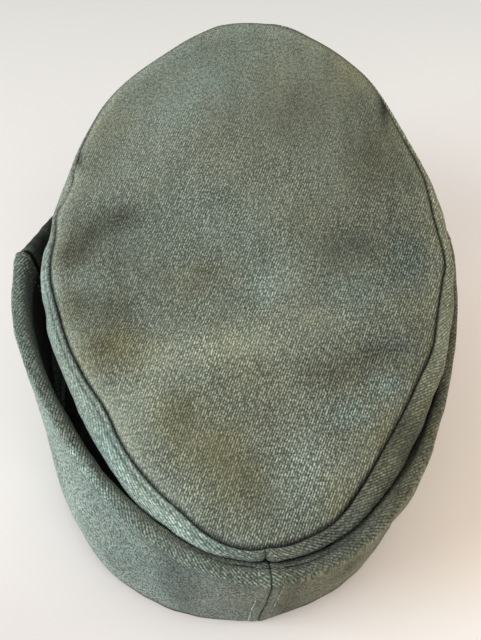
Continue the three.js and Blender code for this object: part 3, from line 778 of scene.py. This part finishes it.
def peak_piece(material, threads):
    length = 2 * PEAK.half_angle * PEAK_LENGTH
    count = spread_out(length, 0.4, 1.6, 8) / length
    across = 2 * count - 1
    angles = 180 + PEAK.half_angle * across
    thickness = PEAK.thickness
    root = beside_rim(angles, -PEAK.root_inset, -CLEARANCE - thickness / 2)
    ahead = unit(mix(np.array([0.0, -1.0, 0.0]), rim_at(angles)[1], PEAK.fan))
    reach = mix(PEAK.side_reach, PEAK.reach, np.maximum(0, 1 - across ** 2) ** PEAK.roundness)
    edge = thickness / 2 + PEAK.middle_up * (1 - (across / PEAK.touches) ** 2) ** 2
    shares = np.sort(1 - spread_out(2.0, 0.006, 0.028, 0.2)[:-1])
    shares = np.concatenate([[0.0], shares[shares > 0.01]])
    grid = root[:, None] + ahead[:, None] * (reach[:, None] * shares[None])[..., None]
    low = np.minimum(edge, root[:, 2])[:, None]
    grid[..., 2] = mix(root[:, 2][:, None], low, shares[None] ** PEAK.droop)
    path = lengths(grid, 1)
    round_edge = lengths(grid[:, -1:], 0) + 0 * path
    to_edge = path[:, -1:] - path
    to_side = np.minimum(round_edge, round_edge[-1:] - round_edge)
    near = np.minimum(to_edge, to_side + 0.2)
    normal = normals_of(grid)
    relief = lumps(grid[..., 0], grid[..., 1], 30, 41) * 0.35
    relief += lumps(grid[..., 0], grid[..., 1], 9, 42) * 0.08
    relief = relief * smooth(0, 8, near) - 0.3 * hump(near - PEAK_ROW, 0.8)
    half = thickness / 2 * rounded(near, 1.5)
    grid += normal * relief[..., None]
    grid[..., 2] = np.maximum(grid[..., 2], half)
    outer = grid + normal * half[..., None]
    inner = grid - normal * half[..., None]
    fade_and_shade = 0.6 * hump(near, 1.6) + 0.2 * lumps(grid[..., 0], grid[..., 1], 22, 44)
    tone = 0.25 * lumps(grid[..., 0], grid[..., 1], 30, 45)
    layers = dict(nap=0.25 + 0.4 * hump(near, 3), fade_and_shade=fade_and_shade, tone=tone)
    cloth = grid * [1, 1, 0]
    cloth_body("peak", outer, inner, cloth, PEAK_RIBS, layers, material)
    pick = np.flatnonzero(to_side[:, -1] > PEAK_SIDES)
    rows = np.abs(to_edge - PEAK_ROW).argmin(axis=1)[pick]
    threads.append((outer[pick, rows], normal[pick, rows]))


# ---- thread

STITCH = Named(start=0.4, length=2.5, gap=0.75, radius=0.24, sink=0.05, sides=6, rings=7)


def add_stitches(path, normal, seed, points, faces, dye):
    """Adds the points, faces and dye of stitches along a path, one thread after another."""
    random = np.random.default_rng(seed)
    rings = STITCH.rings
    sides = STITCH.sides
    shares = np.linspace(0, 1, rings)
    arch = np.sin(np.pi * shares)
    lift = STITCH.radius * (1.5 * arch ** 0.6 - 0.9) - STITCH.sink
    radius = STITCH.radius * (0.55 + 0.45 * arch ** 0.5)
    distance = lengths(path[:, None], 0)[:, 0]
    place = STITCH.start
    while place + STITCH.length < distance[-1]:
        length = STITCH.length * random.uniform(0.9, 1.08)
        where = place + length * shares
        centre = np.stack([np.interp(where, distance, path[:, k]) for k in range(3)], 1)
        up = unit(np.stack([np.interp(where, distance, normal[:, k]) for k in range(3)], 1))
        aside = unit(np.cross(unit(np.gradient(centre, axis=0)), up))
        centre += up * lift[:, None] + aside * random.uniform(-0.12, 0.12)
        index = tube(len(points), rings, sides)
        faces += grid_faces(index)
        faces += [index[0, :-1].tolist(), index[-1, -2::-1].tolist()]
        for k in range(rings):
            for turn in np.arange(sides) * 2 * np.pi / sides:
                points.append(centre[k] + radius[k] * (aside[k] * math.cos(turn) + up[k] * math.sin(turn)))
        dye += [random.uniform(0, 1)] * (rings * sides)
        place += length + STITCH.gap * random.uniform(0.85, 1.2)


def thread_piece(name, rows, material):
    points = []
    faces = []
    dye = []
    for seed, (path, normal) in enumerate(rows):
        add_stitches(path, normal, seed, points, faces, dye)
    points = np.array(points)
    points[:, 2] = np.maximum(points[:, 2], TABLE_GAP)
    add_object(name, points, faces, material, None, points, dict(dye=dye))


# ---- buttons

# Section of a button, as shares of its radius and height: its flat back, a rolled rim, a narrow
# valley and a low dome.
BUTTON_SECTION = [
    [0, 0.1], [0.72, 0.1], [0.93, 0.22], [1, 0.42], [0.985, 0.6], [0.93, 0.72], [0.86, 0.74],
    [0.81, 0.68], [0.77, 0.62], [0.7, 0.68], [0.58, 0.79], [0.42, 0.89], [0.24, 0.96], [0, 1],
]


def button_piece(name, up, material):
    """A button on the front, at a height above the rim."""
    sides = BUTTON.sides
    section = np.array([BUTTON_SECTION]) * [BUTTON.radius, BUTTON.height]
    fine = along_rows(section, [BUTTON.steps] * (len(BUTTON_SECTION) - 1))[0]
    front = np.array(180.0)
    reach = outer_ply(front, up) + PLY / 2 + FLAP.lap_out + CLEARANCE
    centre = beside_rim(front, reach, up)
    axis = rim_at(front)[1]
    aside = unit(np.cross([0, 0, 1.0], axis))
    above = np.cross(axis, aside)
    points = []
    for distance, out in fine:
        for turn in np.arange(sides) * 2 * np.pi / sides:
            around = aside * math.cos(turn) + above * math.sin(turn)
            points.append(centre + axis * out + around * max(distance, BUTTON.least_ring))
    index = tube(0, len(fine), sides)
    faces = grid_faces(index, flip=True)
    faces += [index[0, -2::-1].tolist(), index[-1, :-1].tolist()]
    add_object(name, np.array(points), faces, material, name)


# ---- materials


class Recipe:
    """Builds a material, one short call for each node."""

    def __init__(self, name):
        self.material = bpy.data.materials.new(name)
        self.material.use_nodes = True
        self.tree = self.material.node_tree
        self.shader = self.tree.nodes["Principled BSDF"]

    def feed(self, socket, value):
        if isinstance(value, bpy.types.NodeSocket):
            self.tree.links.new(value, socket)
        else:
            socket.default_value = value

    def node(self, kind, inputs, **settings):
        node = self.tree.nodes.new("ShaderNode" + kind)
        for name, value in settings.items():
            setattr(node, name, value)
        for socket, value in inputs.items():
            self.feed(node.inputs[socket], value)
        return node

    def math(self, operation, *values):
        return self.node("Math", dict(enumerate(values)), operation=operation).outputs[0]

    def total(self, start, *terms):
        """start, and after it each value times its share."""
        for value, share in terms:
            start = self.math("MULTIPLY_ADD", value, share, start)
        return start

    def attribute(self, name, kind="Fac"):
        return self.node("Attribute", {}, attribute_name=name).outputs[kind]

    def spread(self, value, low, high, to_low=0, to_high=1):
        return self.node("MapRange", dict(enumerate([value, low, high, to_low, to_high]))).outputs[0]

    def blend(self, share, first, second, mode="MIX"):
        settings = dict(data_type="RGBA", blend_type=mode, clamp_result=mode != "MIX")
        return self.node("Mix", {"Factor": share, 6: first, 7: second}, **settings).outputs[2]

    def noise(self, vector, scale, detail=2.0, roughness=0.5):
        inputs = {"Vector": vector, "Scale": scale, "Detail": detail, "Roughness": roughness}
        return self.node("TexNoise", inputs).outputs["Fac"]

    def scaled(self, vector, x, y, z=1.0):
        inputs = {0: vector, 1: (x, y, z)}
        return self.node("VectorMath", inputs, operation="MULTIPLY").outputs[0]

    def bump(self, height, distance, strength=1.0):
        inputs = {"Height": height, "Distance": distance, "Strength": strength}
        return self.node("Bump", inputs).outputs["Normal"]

    def finished(self, inputs):
        for socket, value in inputs.items():
            self.feed(self.shader.inputs[socket], value)
        return self.material


TWILL = Named(dash=1.05, groove=(0.036, 0.042, 0.032, 1), dark=(0.062, 0.076, 0.058, 1),
              middle=(0.150, 0.182, 0.148, 1), light=(0.495, 0.547, 0.463, 1), fuzz=(0.152, 0.180, 0.151, 1),
              warm=(1.13, 0.985, 0.68, 1), cool=(0.84, 1.165, 1.42, 1), plain=(1.0, 1.0, 1.0, 1),
              soil=(0.178, 0.164, 0.092, 1))


def wool(name, rib, hang, grain, softness):
    """Heathered wool twill: slanting ribs of short floats, flecks, fading with painted shade and
    highlights, and a soft nap. rib: from rib to rib, in mm. hang: how far the nap's fibres are drawn
    out along the way they are brushed.
    grain: specks of the nap in a metre. softness: how evenly the nap is coloured."""
    r = Recipe(name)
    cloth = r.attribute("cloth", "Vector")
    turn, nap, fade_and_shade, tone = (r.attribute(layer) for layer in ("turn", "nap", "fade_and_shade", "tone"))
    inputs = {"Vector": cloth, "Angle": turn}
    ribs = r.node("VectorRotate", inputs, rotation_type="Z_AXIS").outputs[0]
    brushed = r.scaled(cloth, 1, 1 / hang)
    waver = r.noise(cloth, 170, 1)
    place = r.node("SeparateXYZ", {0: ribs})
    across = r.math("MULTIPLY_ADD", place.outputs[0], 1000 / rib, r.spread(waver, 0.3, 0.7, -0.12, 0.12))
    rib_number = r.math("FLOOR", across)
    in_rib = r.math("FRACT", across)
    # The floats of one rib lie aslant, a little further along than those of the rib before.
    slant = r.math("MULTIPLY_ADD", rib_number, 0.42, r.math("MULTIPLY", in_rib, 0.7))
    along = r.math("MULTIPLY_ADD", place.outputs[1], 1000 / TWILL.dash, slant)
    dash_number = r.math("FLOOR", along)
    in_dash = r.math("FRACT", along)

    def arch(share, power):
        off = r.math("ABSOLUTE", r.math("MULTIPLY_ADD", share, 2, -1))
        return r.math("SUBTRACT", 1, r.math("POWER", off, power))

    float_height = r.math("MULTIPLY_ADD", arch(in_dash, 2.5), 0.2, 0.8)
    float_height = r.math("MULTIPLY", arch(in_rib, 1.7), float_height)
    which = r.node("CombineXYZ", {0: rib_number, 1: dash_number}).outputs[0]
    lot = r.node("TexWhiteNoise", {"Vector": which}, noise_dimensions="2D").outputs["Value"]
    fibres = r.noise(r.scaled(ribs, 3400, 1700), 1, 3, 0.65)
    specks = r.noise(brushed, grain, 2, 0.6)
    heather = r.noise(cloth, 1150, 2, 0.6)
    clumps = r.noise(brushed, 0.4 * grain, 3, 0.65)
    # Each float has its own shade; fibres, flecks and heather break it up.
    shade = r.total(-0.1, (lot, 0.14), (fibres, 0.5), (heather, 1), (clumps, 0.15))
    ramp = r.node("ValToRGB", {0: shade})
    stops = ramp.color_ramp.elements
    stops[0].position = 0.49
    stops[0].color = TWILL.dark
    stops[1].position = 0.95
    stops[1].color = TWILL.light
    stops.new(0.75).color = TWILL.middle
    ribbed = r.blend(r.spread(float_height, 0.08, 0.8), TWILL.groove, ramp.outputs[0])
    # The nap is a felted surface of fine fibres that lies over the ribs.
    grit = r.total(0, (clumps, 0.25), (specks, 0.5), (heather, 0.3))
    felt = r.blend(r.spread(grit, 0.46, 0.59), TWILL.dark, TWILL.light)
    felt = r.blend(softness, felt, TWILL.fuzz)
    patchy = r.noise(cloth, 60, 3, 0.6)
    over = r.math("ADD", nap, r.spread(patchy, 0.35, 0.68, -0.2, 0.2))
    over = r.node("Clamp", {0: over, 1: 0, 2: 0.9}).outputs[0]
    colour = r.blend(over, ribbed, felt)
    # Warm and cool areas, then broad lighter and darker ones: cloudy patches and the fading layer,
    # which carries the painted shade and highlights too.
    drift = r.noise(cloth, 26, 3, 0.6)
    heat = r.math("ADD", tone, r.spread(drift, 0.35, 0.65, -0.35, 0.35))
    tint = r.blend(r.spread(heat, 0, 2.4, 0, 0.8), TWILL.plain, TWILL.warm)
    tint = r.blend(r.spread(heat, 0, -1.5, 0, 0.5), tint, TWILL.cool)
    colour = r.blend(1, colour, tint, "MULTIPLY")
    colour = r.blend(r.spread(heat, 0, 2.4, 0, 0.4), colour, TWILL.soil)
    cloudy = r.noise(r.scaled(cloth, 1, 0.45), 110, 4, 0.6)
    bright = r.total(r.spread(cloudy, 0.3, 0.7, 0.88, 1.12), (fade_and_shade, 0.4))
    bright = r.math("MAXIMUM", bright, 0.04)
    grey = r.node("CombineXYZ", {0: bright, 1: bright, 2: bright}).outputs[0]
    relief = r.math("MULTIPLY", float_height, r.spread(over, 0, 1, 1, 0.2))
    relief = r.total(relief, (fibres, 0.4), (specks, 0.5))
    return r.finished({
        "Base Color": r.blend(1, colour, grey, "MULTIPLY"),
        "Roughness": r.spread(float_height, 0, 1, 0.98, 0.86),
        "Specular IOR Level": 0.12,
        "Sheen Weight": 0.06,
        "Sheen Roughness": 0.5,
        "Sheen Tint": (0.86, 0.92, 0.9, 1),
        "Normal": r.bump(relief, 0.00025, 0.75),
    })


def thread_material():
    """Undyed cotton: some stitches are still off-white, the rest have taken the cloth's colour."""
    r = Recipe("thread")
    cloth = r.attribute("cloth", "Vector")
    dirt = r.noise(cloth, 700, 3, 0.6)
    share = r.math("ADD", r.attribute("dye"), r.spread(dirt, 0.3, 0.7, -0.3, 0.3))
    twist = r.noise(r.scaled(cloth, 4200, 4200, 4200), 1, 1)
    return r.finished({
        "Base Color": r.blend(r.spread(share, 0.3, 0.95), (0.15, 0.17, 0.14, 1), (0.58, 0.57, 0.48, 1)),
        "Roughness": r.spread(dirt, 0.2, 0.8, 0.7, 0.9),
        "Specular IOR Level": 0.3,
        "Normal": r.bump(twist, 0.00012, 0.8),
    })


def button_material():
    """Grey-green painted metal with a fine pebbled face, rubbed brighter on the raised parts."""
    r = Recipe("button_paint")
    place = r.node("TexCoord", {}).outputs["Object"]
    cells = r.node("TexVoronoi", {"Vector": place, "Scale": 1500}, feature="SMOOTH_F1")
    wear = r.noise(place, 420, 4, 0.65)
    raised = r.node("NewGeometry", {}).outputs["Pointiness"]
    rubbed = r.math("ADD", r.spread(raised, 0.49, 0.56), r.spread(wear, 0.4, 0.8, -0.5, 0.35))
    rubbed = r.node("Clamp", {0: rubbed}).outputs[0]
    colour = r.blend(rubbed, (0.085, 0.095, 0.08, 1), (0.30, 0.29, 0.26, 1))
    return r.finished({
        "Base Color": r.blend(r.spread(wear, 0.35, 0.6), (0.045, 0.05, 0.042, 1), colour),
        "Metallic": 0.55,
        "Roughness": r.spread(wear, 0.3, 0.7, 0.62, 0.42),
        "Normal": r.bump(cells.outputs["Distance"], 0.00025, 0.7),
    })


# ---- table, light and camera

# Colours of the table: in front of the cap, darker there as painted shade; behind it; at the back
# on the left, a patch of painted shade; beside its right, painted warm bounce light in the shade;
# and the mottling.
TABLE = Named(front=(0.655, 0.672, 0.676, 1), back=(0.965, 0.928, 0.925, 1), corner=(0.80, 0.765, 0.775, 1),
              beside=(1, 0.87, 0.745, 1), mottle=(0.7, 0.68, 0.66, 1))


def table_top():
    bpy.ops.mesh.primitive_plane_add(size=6)
    table = bpy.context.object
    table.name = "table"
    r = Recipe("table_paint")
    place = r.node("TexCoord", {}).outputs["Object"]
    x, y = r.node("SeparateXYZ", {0: place}).outputs[:2]
    # Painted shade: the table is darker towards the front.
    colour = r.blend(r.spread(y, -0.25, -0.02), TABLE.front, TABLE.back)
    # A patch of painted shade at the back on the left.
    corner = r.math("MULTIPLY", r.spread(x, -0.03, 0.09), r.spread(y, 0.07, 0.13))
    colour = r.blend(corner, colour, TABLE.corner)
    # Painted warm bounce light in the shade beside the cap's right.
    beside = r.math("MULTIPLY", r.spread(x, 0.02, -0.16), r.spread(y, -0.08, 0.10))
    beside = r.math("MULTIPLY", beside, r.spread(y, 0.15, 0.115, 0.2, 1))
    colour = r.blend(beside, colour, TABLE.beside)
    mottle = r.spread(r.noise(place, 14, 3), 0.3, 0.7, 0, 0.06)
    colour = r.blend(mottle, colour, TABLE.mottle)
    table.data.materials.append(r.finished({"Base Color": colour, "Roughness": 0.6}))


def area_light(name, place, aim, size, energy, colour):
    light = bpy.data.lights.new(name, "AREA")
    light.shape = "DISK"
    light.size = size
    light.energy = energy
    light.color = colour
    lamp = bpy.data.objects.new(name, light)
    lamp.location = place
    lamp.rotation_euler = (Vector(aim) - Vector(place)).to_track_quat("-Z", "Y").to_euler()
    bpy.context.scene.collection.objects.link(lamp)


def studio_light():
    world = bpy.data.worlds.new("room")
    bpy.context.scene.world = world
    world.use_nodes = True
    background = world.node_tree.nodes["Background"]
    background.inputs["Color"].default_value = (1.0, 0.94, 0.87, 1)
    background.inputs["Strength"].default_value = 0.76
    area_light("window", (2.3, 0.5, 1.9), (0, 0, 0.05), 1.8, 44, (0.86, 0.96, 1.0))
    area_light("room_fill", (-1.6, 0.9, 2.0), (0, 0, 0.03), 1.8, 12, (1.0, 0.9, 0.78))
    bpy.context.scene.view_settings.view_transform = "Standard"


# Where the eye is and how it looks: degrees down from level, turned from -Y, and tilted.
CAMERA = Named(place=(13.75, 238.94, 380.28), down=57.346, turned=4.520, tilt=0.550, lens=54.07)


def camera():
    down, turned, tilt = np.radians([CAMERA.down, CAMERA.turned, CAMERA.tilt]).tolist()
    data = bpy.data.cameras.new("camera")
    data.sensor_fit = "VERTICAL"
    data.sensor_height = 36
    data.lens = CAMERA.lens
    eye = bpy.data.objects.new("camera", data)
    turn = Matrix.Rotation(math.pi - turned, 4, "Z") @ Matrix.Rotation(math.pi / 2 - down, 4, "X")
    turn = turn @ Matrix.Rotation(tilt, 4, "Z")
    turn.translation = Vector(CAMERA.place) * MM
    eye.matrix_world = turn
    bpy.context.scene.collection.objects.link(eye)
    bpy.context.scene.camera = eye


# ---- the scene

camera()
studio_light()
table_top()

crown_wool = wool("crown_wool", 0.88, 1.2, 1700, 0.62)
flap_wool = wool("flap_wool", 1.08, 2.2, 1500, 0.15)
peak_wool = wool("peak_wool", 0.88, 1.2, 1700, 0.5)
thread = thread_material()
paint = button_material()

SLIT = 0.08              # half of the gap between two sewn pieces, in degrees
top_panel(crown_wool)
wall_piece("crown_side_left", SLIT, 180 - SLIT, WALL_RIBS.left, crown_wool)
wall_piece("crown_side_right", -180 + SLIT, -SLIT, WALL_RIBS.right, crown_wool)

flap_rows = []
side = FLAP.side_seam
flap_piece("flap_rear_left", SLIT, side - SLIT, flap_wool, (BACK_ROWS, SIDE_ROWS), flap_rows)
flap_piece("flap_rear_right", -side + SLIT, -SLIT, flap_wool, (SIDE_ROWS, BACK_ROWS), flap_rows)
flap_piece("flap_front_left", side + SLIT, FLAP.left_end, flap_wool, ([], []), flap_rows)
flap_piece("flap_front_right", FLAP.right_end - 360, -side - SLIT, flap_wool, ([], []), flap_rows)
thread_piece("flap_stitches", flap_rows, thread)

peak_rows = []
peak_piece(peak_wool, peak_rows)
thread_piece("peak_stitches", peak_rows, thread)

for button, button_up in BUTTON.places.items():
    button_piece(button, button_up, paint)
